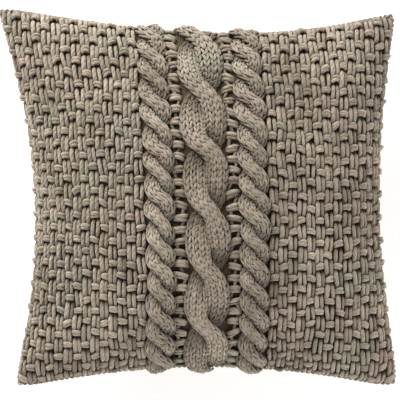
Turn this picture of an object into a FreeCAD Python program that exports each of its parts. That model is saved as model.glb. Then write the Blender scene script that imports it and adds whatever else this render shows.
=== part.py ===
import FreeCAD, Part

import math
import os

import Sketcher

from FreeCAD import Placement, Rotation, Vector

# A square knitted throw pillow, lying on its back: front face up (+Z), the edge with the zip towards -Y.
# The origin is the middle of the outline, on the surface that the pillow lies on. Millimetres and degrees.

DIMENSIONS = {
    # Corners of the outline, before they are rounded. The two -Y corners lie on the seam's arc.
    "corner_far_left_x": -236.0,
    "corner_far_left_y": 223.2,
    "corner_far_right_x": 229.0,
    "corner_far_right_y": 217.5,
    "corner_near_left_x": -217.0,
    "corner_near_right_x": 232.6,
    "corner_round": 14.0,
    # How far the middle of each side is pulled in by the filling.
    "left_dip": 36.0,
    "right_dip": 22.0,
    "far_dip": 25.0,
    # The -Y side is an arc that bulges into the pillow. Its centre is out in front of it.
    "seam_arc_x": 9.0,
    "seam_arc_radius": 930.0,
    "seam_middle_y": -194.5,
    # Heights.
    "seam_height": 62.0,
    "edge_band": 4.0,
    "front_rise": 74.0,
    "back_rise": 66.0,
    "fullness": 1.1,
    # The knitted front: its thickness, what its sides have besides that, and how far its cables stand up.
    "knit_thickness": 8.0,
    "knit_side_extra": 1.0,
    "wide_cable_x": 6.0,
    "wide_cable_width": 60.0,
    "wide_cable_rise": 7.0,
    "narrow_cable_spread": 54.0,
    "narrow_cable_width": 34.0,
    "narrow_cable_rise": 6.0,
    # Woven layers, what the back's sides have besides its thickness, and the gaps between layers.
    "back_thickness": 2.5,
    "back_side_extra": 2.0,
    "lining_thickness": 0.8,
    "case_thickness": 0.8,
    "layer_gap": 0.3,
    "insert_inset": 27.0,
    # The band of stitches that joins front and back.
    "seam_depth": 4.0,
    "seam_band": 3.0,
    "insert_seam_depth": 2.5,
    "insert_seam_band": 2.0,
    # How far past the edge the cuts for the seam, the zip and the seam's two ends reach.
    "seam_cut_reach": 2.0,
    "zip_cut_reach": 5.0,
    "seam_end_reach": 9.0,
    # The zip, measured in its own cross-section: out and in are along the radius of the seam's arc.
    "zip_opening": 362.0,
    "zip_travel": 310.0,
    "tape_length": 360.0,
    "teeth_past_slider": 0.5,
    "stop_past_slider": 1.0,
    "zip_slot": 9.2,
    "zip_depth": 6.0,
    "teeth_half": 1.4,
    "teeth_inner": 0.7,
    "teeth_outer": 2.6,
    "tape_half": 0.3,
    "tape_reach": 15.0,
    "tape_low": 3.8,
    "tape_high": 4.4,
    "stop_length": 3.0,
    "slider_length": 9.0,
    "slider_half": 3.4,
    "plate_near": 1.8,
    "plate_far": 3.1,
    "lip_width": 0.5,
    "lip_near": 0.7,
    "neck_half": 0.4,
    "bail_half": 2.8,
    "bail_opening": 1.9,
    "bail_rise": 2.4,
    "bail_sunk": 0.3,
    "bail_clear": 1.5,
    "bail_width": 1.4,
    "pull_axis": 0.75,
    "pull_length": 17.0,
    "pull_half": 2.4,
    "pull_thickness": 0.9,
    "window_start": 0.45,
    "window_end": 4.4,
    "window_half": 1.1,
    "pull_round": 2.0,
    # The blank care label.
    "label_length": 42.0,
    "label_width": 12.0,
    "label_thickness": 0.5,
}

# How many points a domed face passes through across the cables, across a plain layer, and along.
CABLED_GRID = 65
PLAIN_GRID = 25
GRID_ALONG = 25
# How many points a side of a flat outline passes through.
SIDE_SPANS = 16
# Each dome is drawn this much past its outline, and the outline then cuts it.
OVERHANG = 0.4
# How soon the cables reach their full height, away from the rim, and how flat-topped they are.
CABLE_GROWTH = 0.7
CABLE_FLATNESS = 4
# A shape that cuts another starts this much outside it, and a cut towards a sub-part stops this much short of it.
OVERRUN = 1.0
# A block wider than the pillow.
WIDE = 1000.0
# Two places closer than this are the same place.
TOLERANCE = 0.01
# The radius of the zip's chain, as an expression in the sheet's dimensions.
CHAIN_RADIUS = "Sizes.seam_arc_radius + Sizes.zip_depth"

doc = FreeCAD.newDocument("throw_pillow")
sheet = doc.addObject("Spreadsheet::Sheet", "Sizes")
for row, (alias, value) in enumerate(DIMENSIONS.items(), start=1):
    sheet.set(f"A{row}", alias)
    sheet.set(f"B{row}", str(value))
    sheet.setAlias(f"B{row}", alias)
doc.recompute()

parts = []


def size(alias):
    """A driving dimension, read from the sheet."""
    return float(getattr(sheet, alias))


# ---------------------------------------------------------------- outline and soft layers


def seam_centre():
    """The centre of the arc that the -Y seam and its zip follow."""
    return Vector(size("seam_arc_x"), size("seam_middle_y") - size("seam_arc_radius"), size("seam_height"))


def near_side(x, inset):
    """The y of the -Y side at x, inset inside the edge."""
    centre = seam_centre()
    radius = size("seam_arc_radius") + inset
    return centre.y + math.sqrt(radius**2 - (x - centre.x) ** 2)


def outline_sides(inset):
    """The four sides of the outline, each a function of w, which runs from -1 to 1 along it."""
    far_left = Vector(size("corner_far_left_x") + inset, size("corner_far_left_y") - inset, 0)
    far_right = Vector(size("corner_far_right_x") - inset, size("corner_far_right_y") - inset, 0)
    near_left_x = size("corner_near_left_x") + inset
    near_right_x = size("corner_near_right_x") - inset
    near_left = Vector(near_left_x, near_side(near_left_x, inset), 0)
    near_right = Vector(near_right_x, near_side(near_right_x, inset), 0)

    def dipped(start, end, inward, dip):
        def side(w):
            straight = start * (0.5 - w / 2) + end * (0.5 + w / 2)
            return straight + inward * (dip * (1 - w**2))

        return side

    def near(w):
        x = near_left_x * (0.5 - w / 2) + near_right_x * (0.5 + w / 2)
        return Vector(x, near_side(x, inset), 0)

    return {
        "near": near,
        "far": dipped(far_left, far_right, Vector(0, -1, 0), size("far_dip")),
        "left": dipped(near_left, far_left, Vector(1, 0, 0), size("left_dip")),
        "right": dipped(near_right, far_right, Vector(-1, 0, 0), size("right_dip")),
    }


def on_outline(sides, u, v):
    """The point at u (left to right) and v (near to far), each from -1 to 1: a Coons patch of the sides."""
    a = 0.5 + u / 2
    b = 0.5 + v / 2
    across = sides["left"](v) * (1 - a) + sides["right"](v) * a
    along = sides["near"](u) * (1 - b) + sides["far"](u) * b
    near = sides["near"](-1) * (1 - a) + sides["near"](1) * a
    far = sides["far"](-1) * (1 - a) + sides["far"](1) * a
    return across + along - near * (1 - b) - far * b


def cable_height(x, share):
    """How far the knitted front stands up at x, from its three cables."""
    wide = size("wide_cable_x")
    spread = size("narrow_cable_spread")
    cables = [
        (wide, size("wide_cable_width"), size("wide_cable_rise")),
        (wide - spread, size("narrow_cable_width"), size("narrow_cable_rise")),
        (wide + spread, size("narrow_cable_width"), size("narrow_cable_rise")),
    ]
    total = 0.0
    for middle, width, rise in cables:
        total += rise * math.exp(-abs(2 * (x - middle) / width) ** CABLE_FLATNESS)
    return share * total


def dome_face(inset, rise, up, cables):
    """One domed face over the outline. Its rim is level, edge_band away from the seam's plane."""
    sides = outline_sides(inset)
    rim = size("seam_height") + up * size("edge_band")
    across = CABLED_GRID if cables else PLAIN_GRID
    rows = []
    for i in range(across):
        angle_u = math.pi / 2 * (2 * i / (across - 1) - 1)
        row = []
        for j in range(GRID_ALONG):
            angle_v = math.pi / 2 * (2 * j / (GRID_ALONG - 1) - 1)
            point = on_outline(sides, math.sin(angle_u), math.sin(angle_v))
            share = max(math.cos(angle_u) * math.cos(angle_v), 0.0) ** size("fullness")
            bump = cable_height(point.x, share**CABLE_GROWTH) if cables else 0.0
            point.z = rim + up * (rise * share + bump)
            row.append(point)
        rows.append(row)
    surface = Part.BSplineSurface()
    surface.interpolate(rows)
    return surface.toShape()


def spline_through(points):
    """A smooth edge through the points."""
    curve = Part.BSplineCurve()
    curve.interpolate(points)
    return curve.toShape()


def flat_face(edges):
    """The flat face inside a loop of edges, given in any order."""
    return Part.Face(Part.Wire(Part.__sortEdges__(edges)))


def rounded_prism(inset, low, high):
    """The outline drawn inset inside the edge, with its corners rounded, from z = low to z = high."""
    sides = outline_sides(0.0)
    stations = [-1 + 2 * k / SIDE_SPANS for k in range(SIDE_SPANS + 1)]
    sharp = flat_face([spline_through([sides[name](w) for w in stations]) for name in sides])
    radius = size("corner_round")
    rounded = sharp.makeOffset2D(-radius - inset).makeOffset2D(radius)
    face = flat_face([spline_through(edge.discretize(SIDE_SPANS)) for edge in rounded.Edges])
    face.translate(Vector(0, 0, low))
    return face.extrude(Vector(0, 0, high - low))


def layer(inset, rise, up, base, cables=False):
    """A half of the pillow's shape, from the level base to a domed face, with rounded corners."""
    reach = 2 * (size("front_rise") + size("edge_band") + size("wide_cable_rise"))
    low, high = sorted([base, base + up * reach])
    dome = dome_face(inset - OVERHANG, rise, up, cables).extrude(Vector(0, 0, -up * reach))
    return dome.common(rounded_prism(inset, low, high))


def above_surface(shape, height):
    """The shape with everything under z = height cut away, where the pillow's weight flattens it."""
    return shape.common(Part.makeBox(WIDE, WIDE, WIDE, Vector(-WIDE / 2, -WIDE / 2, height)))


def around_seam(inside, outside, half_height, half_length):
    """A block that follows the seam's arc, from inside to outside of the edge, either side of its middle."""
    centre = seam_centre()
    radius = size("seam_arc_radius")
    angle = math.degrees(half_length / radius)
    corners = [
        (radius - outside, -half_height),
        (radius + inside, -half_height),
        (radius + inside, half_height),
        (radius - outside, half_height),
    ]
    points = [centre + Vector(0, y, z) for y, z in corners]
    face = Part.Face(Part.makePolygon(points + points[:1]))
    block = face.revolve(centre, Vector(0, 0, 1), 2 * angle)
    block.rotate(centre, Vector(0, 0, 1), -angle)
    return block


def ring(outer, inner, half_height):
    """A flat ring that follows the outline, either side of the seam's plane."""
    low = size("seam_height") - half_height
    high = size("seam_height") + half_height
    return rounded_prism(outer, low, high).cut(rounded_prism(inner, low - OVERRUN, high + OVERRUN))


def add_soft(label, shape):
    """Keeps a shape as a sub-part of the document."""
    feature = doc.addObject("Part::Feature", label)
    feature.Label = label
    feature.Shape = shape.Solids[0] if len(shape.Solids) == 1 else shape
    feature.Placement = Placement()
    parts.append(feature)


def make_cover():
    """The knitted front, its lining, the woven back and the seam that joins them."""
    plane = size("seam_height")
    gap = size("layer_gap")
    half_opening = size("zip_opening") / 2
    zip_inside = size("insert_inset") - OVERRUN
    zip_room = around_seam(zip_inside, size("zip_cut_reach"), size("zip_slot") / 2, half_opening)
    seam_room = ring(-size("seam_cut_reach"), size("seam_depth") + gap, size("seam_band") / 2 + gap)
    front_base = plane + gap / 2
    back_base = plane - gap / 2

    knit = size("knit_thickness")
    sides = knit + size("knit_side_extra")
    front = layer(0.0, size("front_rise"), 1, front_base, cables=True)
    front_hollow = layer(sides, size("front_rise") - knit, 1, plane - OVERRUN)
    add_soft("front_panel", front.cut(front_hollow).cut(zip_room).cut(seam_room))

    cloth = size("lining_thickness")
    lining_rise = size("front_rise") - knit - gap
    lining = layer(sides + gap, lining_rise, 1, front_base)
    lining_hollow = layer(sides + gap + cloth, lining_rise - cloth, 1, plane - OVERRUN)
    add_soft("front_lining", lining.cut(lining_hollow).cut(zip_room))

    wall = size("back_thickness")
    back_sides = wall + size("back_side_extra")
    back = above_surface(layer(0.0, size("back_rise"), -1, back_base), 0.0)
    back_hollow = above_surface(layer(back_sides, size("back_rise") - wall, -1, plane + OVERRUN), wall)
    add_soft("back_panel", back.cut(back_hollow).cut(zip_room).cut(seam_room))

    seam = ring(0.0, size("seam_depth"), size("seam_band") / 2)
    seam_end = around_seam(size("insert_inset"), size("seam_end_reach"), size("zip_slot"), half_opening + gap)
    add_soft("edge_seam", seam.cut(seam_end))


def make_insert():
    """The pillow form: its filling, its two-piece case and the seam round that."""
    plane = size("seam_height")
    gap = size("layer_gap")
    inset = size("insert_inset")
    case = size("case_thickness")
    front_rise = size("front_rise") - size("knit_thickness") - size("lining_thickness") - 2 * gap
    back_rise = size("back_rise") - size("back_thickness") - gap
    floor = size("back_thickness") + gap
    seam_depth = size("insert_seam_depth")
    half_band = size("insert_seam_band") / 2
    seam_room = ring(inset - size("seam_cut_reach"), inset + seam_depth + gap, half_band + gap)

    front = layer(inset, front_rise, 1, plane + gap / 2)
    front_hollow = layer(inset + case, front_rise - case, 1, plane - OVERRUN)
    add_soft("insert_cover_front", front.cut(front_hollow).cut(seam_room))

    back = above_surface(layer(inset, back_rise, -1, plane - gap / 2), floor)
    back_hollow = above_surface(layer(inset + case, back_rise - case, -1, plane + OVERRUN), floor + case)
    add_soft("insert_cover_back", back.cut(back_hollow).cut(seam_room))

    full = case + gap
    upper = layer(inset + full, front_rise - full, 1, plane)
    lower = above_surface(layer(inset + full, back_rise - full, -1, plane), floor + full)
    add_soft("insert_fill", upper.fuse(lower).cut(seam_room))

    add_soft("insert_seam", ring(inset, inset + seam_depth, half_band))


# ---------------------------------------------------------------- the zip


def origin_plane(body, role):
    """One of the body's own base planes."""
    return next(plane for plane in body.Origin.OriginFeatures if plane.Role == role)


def add_body(label, placement):
    """A new body, kept as a sub-part."""
    body = doc.addObject("PartDesign::Body", label)
    body.Label = label
    body.Placement = placement
    parts.append(body)
    return body


def add_sketch(body, name, role):
    """A new sketch on one of the body's base planes."""
    sketch = body.newObject("Sketcher::SketchObject", name)
    sketch.AttachmentSupport = [(origin_plane(body, role), "")]
    sketch.MapMode = "FlatFace"
    return sketch


def draw_polygon(sketch, corners):
    """Draws a closed polygon whose corners are pairs of expressions in the sheet's dimensions."""
    places = [Vector(sketch.evalExpression(x), sketch.evalExpression(y), 0) for x, y in corners]
    first = sketch.GeometryCount
    count = len(corners)
    for k in range(count):
        sketch.addGeometry(Part.LineSegment(places[k], places[(k + 1) % count]), False)
    for k in range(count):
        sketch.addConstraint(
            Sketcher.Constraint("Coincident", first + k, 2, first + (k + 1) % count, 1)
        )
    for k, (x, y) in enumerate(corners):
        for kind, expression, value in (("DistanceX", x, places[k].x), ("DistanceY", y, places[k].y)):
            constraint = sketch.addConstraint(Sketcher.Constraint(kind, -1, 1, first + k, 1, value))
            sketch.setExpression(f"Constraints[{constraint}]", expression)


def rectangle(left, low, right, high):
    """The corners of a rectangle between four expressions."""
    return [(left, low), (right, low), (right, high), (left, high)]


def turned_about_seam(label, corners, length, at=0.0):
    """A sub-part of the zip with a constant section, along the seam's arc. at is its middle, in degrees."""
    placement = Placement(seam_centre(), Rotation(Vector(0, 0, 1), at))
    body = add_body(label, placement)
    sketch = add_sketch(body, label + "_section", "YZ_Plane")
    draw_polygon(sketch, corners)
    turn = body.newObject("PartDesign::Revolution", label + "_turn")
    turn.Profile = sketch
    turn.ReferenceAxis = (sketch, ["V_Axis"])
    turn.Midplane = True
    turn.setExpression("Angle", f"({length}) / ({CHAIN_RADIUS}) * 180 / pi")
    body.Tip = turn
    return body


def chain_radius():
    """The value of CHAIN_RADIUS."""
    return size("seam_arc_radius") + size("zip_depth")


def travel_angle():
    """How far the slider turns about the arc's centre, in degrees, from closed to open."""
    return math.degrees(size("zip_travel") / chain_radius())


def mirrored(corners, up):
    """The section as drawn for the front half of the zip, or turned over for the back half."""
    return corners if up > 0 else [(x, f"-({y})") for x, y in reversed(corners)]


def make_chain():
    """The two tapes and the two rows of teeth, closed over their whole length."""
    reach = f"{CHAIN_RADIUS} + Sizes.tape_reach"
    near = f"{CHAIN_RADIUS} - Sizes.tape_half"
    bend = f"{CHAIN_RADIUS} + Sizes.tape_half"
    tape = [
        (near, "Sizes.teeth_outer"),
        (bend, "Sizes.teeth_outer"),
        (bend, "Sizes.tape_low"),
        (reach, "Sizes.tape_low"),
        (reach, "Sizes.tape_high"),
        (near, "Sizes.tape_high"),
    ]
    teeth = rectangle(
        f"{CHAIN_RADIUS} - Sizes.teeth_half",
        "Sizes.teeth_inner",
        f"{CHAIN_RADIUS} + Sizes.teeth_half",
        "Sizes.teeth_outer",
    )
    teeth_length = "Sizes.zip_travel + Sizes.slider_length + 2 * Sizes.teeth_past_slider"
    for side, up in (("front", 1), ("back", -1)):
        turned_about_seam("zipper_tape_" + side, mirrored(tape, up), "Sizes.tape_length")
        turned_about_seam("zipper_teeth_" + side, mirrored(teeth, up), teeth_length)


def make_stops():
    """The slider's stops: one on each row of teeth at the closed end, and a block on both at the open end."""
    slider_end = size("zip_travel") / 2 + size("slider_length") / 2
    middle = slider_end + size("stop_past_slider") + size("stop_length") / 2
    angle = math.degrees(middle / chain_radius())
    low = f"{CHAIN_RADIUS} - Sizes.teeth_half - Sizes.tape_half"
    high = f"{CHAIN_RADIUS} + Sizes.teeth_half + Sizes.tape_half"
    inner = "Sizes.teeth_inner"
    outer = "Sizes.teeth_outer"
    pair = turned_about_seam(
        "zipper_top_stops", rectangle(low, inner, high, outer), "Sizes.stop_length", at=-angle
    )
    plane = origin_plane(pair, "XY_Plane")
    mirror = pair.newObject("PartDesign::Mirrored", "zipper_top_stops_pair")
    mirror.Originals = [pair.Tip]
    mirror.MirrorPlane = (plane, [""])
    pair.Tip = mirror
    turned_about_seam(
        "zipper_bottom_stop", rectangle(low, f"-({outer})", high, outer), "Sizes.stop_length", at=angle
    )


def at_closed_end():
    """The place of the slider when the zip is closed: X along the chain, Y into the pillow."""
    angle = -travel_angle() / 2
    turn = Rotation(Vector(0, 0, 1), angle)
    return Placement(seam_centre() + turn.multVec(Vector(0, chain_radius(), 0)), turn)


def pad(body, sketch, length):
    """Pads a sketch both ways from its plane."""
    feature = body.newObject("PartDesign::Pad", sketch.Name + "_pad")
    feature.Profile = sketch
    feature.Midplane = True
    feature.setExpression("Length", length)
    body.Tip = feature
    return feature


def make_slider():
    """Two plates with turned lips, the neck between them, and the bail that holds the pull."""
    body = add_body("zipper_slider", at_closed_end())
    section = add_sketch(body, "slider_section", "YZ_Plane")
    near, far = "Sizes.plate_near", "Sizes.plate_far"
    half, lip = "Sizes.slider_half", "Sizes.slider_half - Sizes.lip_width"
    slot, neck = "Sizes.lip_near", "Sizes.neck_half"
    quarter = [(near, neck), (near, lip), (slot, lip), (slot, half), (far, half)]
    inner_plate = quarter + [(y, f"-({z})") for y, z in reversed(quarter)]
    outer_plate = [(f"-({y})", f"-({z})") for y, z in inner_plate]
    draw_polygon(section, inner_plate + outer_plate)
    pad(body, section, "Sizes.slider_length")

    bail = add_sketch(body, "slider_bail", "XY_Plane")
    foot = f"-({far}) + Sizes.bail_sunk"
    under = f"-({far}) - Sizes.bail_clear"
    top = f"-({far}) - Sizes.bail_rise"
    wide, narrow = "Sizes.bail_half", "Sizes.bail_opening"
    draw_polygon(
        bail,
        [
            (f"-({wide})", foot),
            (f"-({wide})", top),
            (wide, top),
            (wide, foot),
            (narrow, foot),
            (narrow, under),
            (f"-({narrow})", under),
            (f"-({narrow})", foot),
        ],
    )
    pad(body, bail, "Sizes.bail_width")


def pull_placement():
    """The pull's own frame: its hinge is its Z axis, and it points along the closed chain."""
    place = at_closed_end()
    return place.multiply(Placement(Vector(0, -size("plate_far") - size("pull_axis"), 0), Rotation()))


def make_pull():
    """A flat tab with a window. The bar at its end turns in the slider's bail."""
    body = add_body("zipper_pull", pull_placement())
    outline = add_sketch(body, "pull_outline", "XZ_Plane")
    end = "-(Sizes.pull_length)"
    draw_polygon(
        outline, rectangle(end, "-(Sizes.pull_half)", "Sizes.window_start", "Sizes.pull_half")
    )
    pad(body, outline, "Sizes.pull_thickness")
    window = add_sketch(body, "pull_window", "XZ_Plane")
    draw_polygon(
        window,
        rectangle(
            "-(Sizes.window_end)",
            "-(Sizes.window_half)",
            "-(Sizes.window_start)",
            "Sizes.window_half",
        ),
    )
    doc.recompute()
    cut = body.newObject("PartDesign::Pocket", "pull_window_pocket")
    cut.Profile = window
    cut.Midplane = True
    cut.setExpression("Length", "Sizes.pull_thickness * 2")
    body.Tip = cut
    doc.recompute()
    far_corners = [
        f"Edge{n}"
        for n, edge in enumerate(cut.Shape.Edges, start=1)
        if upright(edge) and at_end(edge, body)
    ]
    rounding = body.newObject("PartDesign::Fillet", "pull_end_rounding")
    rounding.Base = (cut, far_corners)
    rounding.setExpression("Radius", "Sizes.pull_round")
    body.Tip = rounding


def upright(edge):
    """Whether an edge of the pull runs through its thickness."""
    return edge.BoundBox.XLength < TOLERANCE and edge.BoundBox.ZLength < TOLERANCE


def at_end(edge, body):
    """Whether an edge is at the free end of the pull."""
    return abs(edge.BoundBox.XMin + size("pull_length")) < TOLERANCE


# ---------------------------------------------------------------- the label


def make_label():
    """A blank woven label, held in the right-hand seam, inside the cover."""
    label = doc.addObject("Part::Box", "care_label")
    label.Label = "care_label"
    label.setExpression("Length", "Sizes.label_width")
    label.setExpression("Width", "Sizes.label_length")
    label.setExpression("Height", "Sizes.label_thickness")
    knit = size("knit_thickness") + size("knit_side_extra")
    wall = knit + size("lining_thickness") + 2 * size("layer_gap")
    middle = outline_sides(0.0)["right"](0.0)
    corner = Vector(
        middle.x - wall - size("label_width"),
        middle.y - size("label_length") / 2,
        size("seam_height") + size("layer_gap"),
    )
    label.Placement = Placement(corner, Rotation())
    parts.append(label)


# ---------------------------------------------------------------- build, check and write


def check_document():
    """Stops the script if any object failed, or any sub-part's shape is missing or invalid."""
    for item in doc.Objects:
        bad = {"Invalid", "Error"} & set(item.State)
        if bad:
            raise RuntimeError(f"{item.Label}: {sorted(bad)}")
    for item in parts:
        if item.Shape.isNull() or not item.Shape.isValid() or item.Shape.Volume <= 0:
            raise RuntimeError(f"{item.Label}: its shape isn't a valid solid")


def write_parts():
    """Writes each sub-part as a STEP file, and prints its size."""
    os.makedirs("parts", exist_ok=True)
    for item in parts:
        item.Shape.exportStep(f"parts/{item.Label}.step")
        box = item.Shape.optimalBoundingBox()
        print(
            f"{item.Label}: {len(item.Shape.Solids)} solid(s), {item.Shape.Volume / 1000:.2f} cm3,"
            f" z {box.ZMin:.2f} to {box.ZMax:.2f}"
        )


make_cover()
make_insert()
make_chain()
make_stops()
make_slider()
make_pull()
make_label()
doc.recompute()
check_document()
write_parts()
centre = seam_centre()
hinge = pull_placement().Base
print(f"slider turns about {centre}, {travel_angle():.4f} degrees; pull turns about {hinge}")
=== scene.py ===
import math

import bpy
import numpy as np
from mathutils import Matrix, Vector


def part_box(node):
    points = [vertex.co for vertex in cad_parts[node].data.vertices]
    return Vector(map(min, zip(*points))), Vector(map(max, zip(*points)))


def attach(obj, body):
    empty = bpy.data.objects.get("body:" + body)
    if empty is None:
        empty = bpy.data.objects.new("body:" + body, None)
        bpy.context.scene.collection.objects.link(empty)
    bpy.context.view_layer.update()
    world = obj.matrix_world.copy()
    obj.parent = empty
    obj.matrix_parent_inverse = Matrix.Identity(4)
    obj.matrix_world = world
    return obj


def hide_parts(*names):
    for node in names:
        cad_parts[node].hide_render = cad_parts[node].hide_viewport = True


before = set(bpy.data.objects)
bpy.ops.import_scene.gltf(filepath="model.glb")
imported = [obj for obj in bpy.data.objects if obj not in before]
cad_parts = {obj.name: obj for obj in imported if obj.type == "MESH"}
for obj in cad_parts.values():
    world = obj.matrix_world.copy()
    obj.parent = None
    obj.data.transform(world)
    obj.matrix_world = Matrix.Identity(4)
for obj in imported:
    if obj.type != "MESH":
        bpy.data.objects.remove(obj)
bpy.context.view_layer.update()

# The looks of a square knitted throw pillow, lying on its back with its knitted face up. Metres, in the CAD
# frame: the zip is in the -Y edge. Every stitch is its own loop of yarn, laid over a filled cloth form.

rng = np.random.default_rng(358)

# ---------------------------------------------------------------- sizes

# The outline, as in the CAD: sharp corners, how far the sides are pulled in, and the arc of the -Y side.
FAR_LEFT = (-0.2360, 0.2232)
FAR_RIGHT = (0.2290, 0.2175)
NEAR_LEFT_X = -0.2170
NEAR_RIGHT_X = 0.2326
LEFT_DIP = 0.036
RIGHT_DIP = 0.022
FAR_DIP = 0.0265
FAR_LEAN = 0.0085
ARC_X = 0.009
ARC_RADIUS = 0.930
ARC_MIDDLE_Y = -0.1945
SEAM_Z = 0.062
FULLNESS = 1.1

# The filled form that carries the stitches: its distance inside the outline and its rise on each side.
FORM_INSET = 0.0045
FRONT_RISE = 0.072
BACK_RISE = 0.0655
SLACK = 0.98
# How far the corners are drawn in, as a share, and how near the corner that begins.
CORNER_PULL = 0.012
NEAR_CORNER_PULL = 0.024
CORNER_POWER = 16
# The form's lines each way, and the rounds that space them evenly.
FORM_GRID = 61
SPACING_ROUNDS = 6
# The cloth simulation: its pressure, its length, and the furthest that it may move a point.
PRESSURE = 4.0
FRAMES = 20
CLOTH_LIMIT = 0.012
# The cloths' outer and inner faces, from the form. The lining is a dark sheet whose colour is painted shade.
BACK_FACES = (0.0008, -0.0014)
SHADE_SHEET_FACES = (-0.0002, -0.0012)

# The zip's slot in the -Y seam: its ends close over the taper, and the cloth follows within the reach.
SLOT_HALF_LENGTH = 0.181
SLOT_HALF_HEIGHT = 0.0046
SLOT_TAPER = 0.008
SLOT_REACH = 0.016

# The zip. The tape's section stands up beside the teeth, turns a corner and runs in behind the cloth.
CHAIN_RADIUS = ARC_RADIUS + 0.006
TAPE_HALF = 0.00027
TAPE_HALF_LENGTH = 0.180
TAPE_FOOT = (0.0026, 0.0031)
TAPE_CORNER_HEIGHT = 0.0035
TAPE_CORNER = 0.0006
TAPE_RUN = (0.006, 0.0105, 0.015)
TAPE_RIPPLE = 0.00012
TAPE_RIPPLE_TURN = 2400
TAPE_STATIONS = 180
TEETH_HALF_LENGTH = 0.160
COIL_PITCH = 0.0014
COIL_STEPS = 12
COIL_HALF_DEPTH = 0.0010
COIL_HALF_HEIGHT = 0.00095
COIL_MIDDLE = 0.00145
COIL_WIRE = 0.00030
ZIP_STITCH = {"pitch": 0.0034, "length": 0.0025, "height": 0.0034, "out": 0.0005, "radius": 0.00022}
METAL_EDGE = 0.00018
METAL_WELD = 1e-6

# Slanting stitches over a cord: how far apart they are and how far they stand off, where they start and end
# round the cord, and how far they lean for a radian of that.
SEAM = {"stitch": 0.0055, "wrap": 0.0030, "turn": (-1.9, 1.9), "slant": 0.35, "radius": 0.0012}
SEAM_CORD = 0.0021
SEAM_OUT = 0.0004
KNIT_EDGE = {"stitch": 0.0062, "wrap": 0.0023, "turn": (-0.9, 2.6), "slant": 0.30, "radius": 0.00165}
KNIT_EDGE_CORD = 0.0017
KNIT_EDGE_OUT = 0.0004
KNIT_EDGE_UP = 0.0026
# Painted shade on the knitting's edge stitches.
KNIT_EDGE_SHADE = 0.12
# How many of the form's lines the ends of the knitting's edges leave out.
KNIT_EDGE_CORNER = 2

# The insert, measured as the form is. The filling is a share of its case's size, and less at the seam.
INSERT_INSET = 0.0300
INSERT_FRONT_RISE = 0.062
INSERT_BACK_RISE = 0.0565
INSERT_LOWEST = 0.0045
CASE_CLOTH = 0.0008
CASE_SEAM_RADIUS = 0.0010
FILLING_SHARE = 0.985
FILLING_RIM_SHARE = 0.975

# The label's curl, and how many radians of it there are in a metre.
LABEL_CURL = 0.0006
LABEL_CURL_TURN = 150

# Where the knitting's bands meet, as x along the pillow's middle.
LEFT_CABLE_START = -0.0605
LEFT_GUTTER_START = -0.0278
WIDE_CABLE_START = -0.0175
RIGHT_GUTTER_START = 0.0330
RIGHT_CABLE_START = 0.0440
RIGHT_CABLE_END = 0.0775

# The stitches. Spreads, reaches and leans are shares of a cell. The numbers that say how something varies
# are standard deviations: heights in metres, radii as a share, and the rest as shares of a cell.
MOSS_COLUMNS = 14
MOSS_ROWS = 32
BUMP = {"spread": 0.108, "reach": 0.395, "radius": 0.00228, "height": 0.0050, "lean": 0.06}
LEFT_LEG = {"at": -0.240, "radius": 0.00265, "height": 0.0033}
RIGHT_LEG = {"at": 0.280, "radius": 0.0023, "height": 0.0028}
LADDER_BUMP = {"spread": 0.130, "reach": 0.66, "radius": 0.0024, "height": 0.0034, "lean": 0.08}
BUMP_VARIES = {"s": 0.025, "t": 0.03, "yarn": 0.02, "reach": 0.02, "height": 0.0005, "radius": 0.07}
# A bump's yarns: how far their ends droop and how high those are, how much longer and higher the upper yarn
# is than the middle of the two, and how much thinner the ends are.
BUMP_DROOP = 0.11
BUMP_END_HEIGHT = 0.0005
BUMP_UPPER_REACH = 0.01
BUMP_UPPER_RISE = 0.0003
BUMP_TAPER = 0.2
LEG_VARIES = {"s": 0.02, "lean": 0.035, "t": 0.03, "height": 0.0004, "radius": 0.08}
# An upright stitch's yarns: their reach and how far down they are shifted, how they bow in at the ends, how
# deep the upper end is tucked, how much thinner the ends are, and the painted shade of the hollow near the
# top.
LEG_REACH = 0.74
LEG_SHIFT = 0.14
LEG_BOW = 0.12
LEG_TUCK = 0.0022
LEG_TAPER = 0.25
LEG_SHADE = 0.7
LEG_SHADE_FROM = 0.58
LEG_SHADE_OVER = 0.34
# The loose yarn between two bumps of a ladder.
RUNG = {"reach": 0.34, "height": 0.0016, "sag": 0.0012, "radius": 0.0019}
RUNG_PLACES = [-0.3, 0.0, 0.3]
RUNG_VARIES = {"lean": 0.15, "height": 0.0004}
# A cable's crossings: the phase is a share of one, the sharpness says how suddenly the strands change sides,
# settle how soon they lie level again, and the pinch how much narrower they are there.
CABLE_ROWS = 64
WIDE_CABLE = {
    "stitches": 4,
    "rows_per_cross": 10,
    "phase": 0.03,
    "strand_width": 0.54,
    "sharpness": 1.6,
    "settle": 1.4,
    "pinch": 0.30,
    "base": 0.0044,
    "lift": 0.0042,
    "crown": 0.0046,
    "radius": 0.00175,
}
NARROW_CABLE = {
    "stitches": 3,
    "rows_per_cross": 4,
    "strand_width": 0.50,
    "sharpness": 0.9,
    "settle": 1.0,
    "pinch": 0.12,
    "base": 0.0040,
    "lift": 0.0036,
    "crown": 0.0056,
    "radius": 0.0016,
}
CABLE_VARIES = {"row": 0.05, "across": 0.02, "height": 0.0003, "radius": 0.07}
# How far strands overlap, as a share of the cable's width, and how much of its crown the lower one loses.
STRAND_OVERLAP = 0.01
CROWN_LOSS = 0.6
# A stitch that lies wholly this near the knitting's edge, as a share of its length, is left out.
CABLE_END = 0.006
# A cable's stitch: its length in rows, how far out its yarns are at the top and how much they close in, how
# it rises along its length and where it is level with its strand, its arch, and its ends' thickness.
STITCH_LENGTH = 1.34
STITCH_SPLAY = 0.42
STITCH_CLOSING = 0.34
STITCH_RISE = 0.0022
STITCH_LEVEL = 0.6
STITCH_ARCH = 0.0008
STITCH_END = 0.45
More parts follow.
